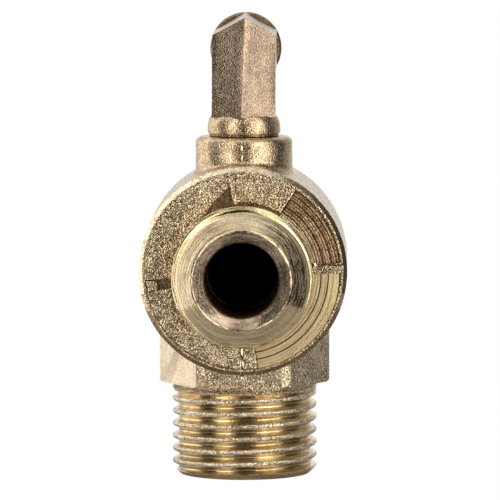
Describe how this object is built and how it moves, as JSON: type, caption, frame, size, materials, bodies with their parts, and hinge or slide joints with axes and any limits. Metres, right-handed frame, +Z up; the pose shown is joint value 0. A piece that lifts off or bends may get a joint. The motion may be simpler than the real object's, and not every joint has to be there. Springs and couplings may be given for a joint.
{
  "type": "angle valve",
  "caption": "Brass quarter-turn angle valve: threaded inlet below, cone-faced threaded outlet nozzle at the front, bent hexagonal lever on top.",
  "frame": {"origin": "centre of the inlet thread's end face, on the stem axis; the valve stands on this face", "axes": "+Z up along the stem axis, -Y out of the outlet nozzle, +X to the right seen from the nozzle; the lever points to +Y at rest, with the valve open"},
  "size_m": [0.0298, 0.0565, 0.0662],
  "materials": {
    "forged_brass": "sandblasted forging with turned faces",
    "plug_brass": "turned and milled",
    "lever_brass": "sandblasted, slightly tarnished",
    "stem_brass": "turned bright",
    "ball_chrome": "polished, chrome plated",
    "white_seal": "smooth fluoropolymer",
    "black_rubber": "moulded",
    "dark_steel": "blackened"
  },
  "bodies": {
    "housing": {"valve_body": "forged_brass", "front_seat": "white_seal", "rear_seat": "white_seal", "front_seat_ring": "black_rubber", "rear_seat_ring": "black_rubber", "end_plug": "plug_brass", "plug_ring": "black_rubber", "thrust_washer": "white_seal"},
    "turning_set": {"lever": "lever_brass", "lever_screw": "dark_steel", "stem": "stem_brass", "lower_stem_ring": "black_rubber", "upper_stem_ring": "black_rubber", "ball": "ball_chrome"}
  },
  "joints": [
    {"name": "lever_turn", "type": "hinge", "parent": "housing", "child": "turning_set", "pos_m": [0, 0, 0.0298], "axis": [0, 0, -1], "range_deg": [0, 90]}
  ]
}
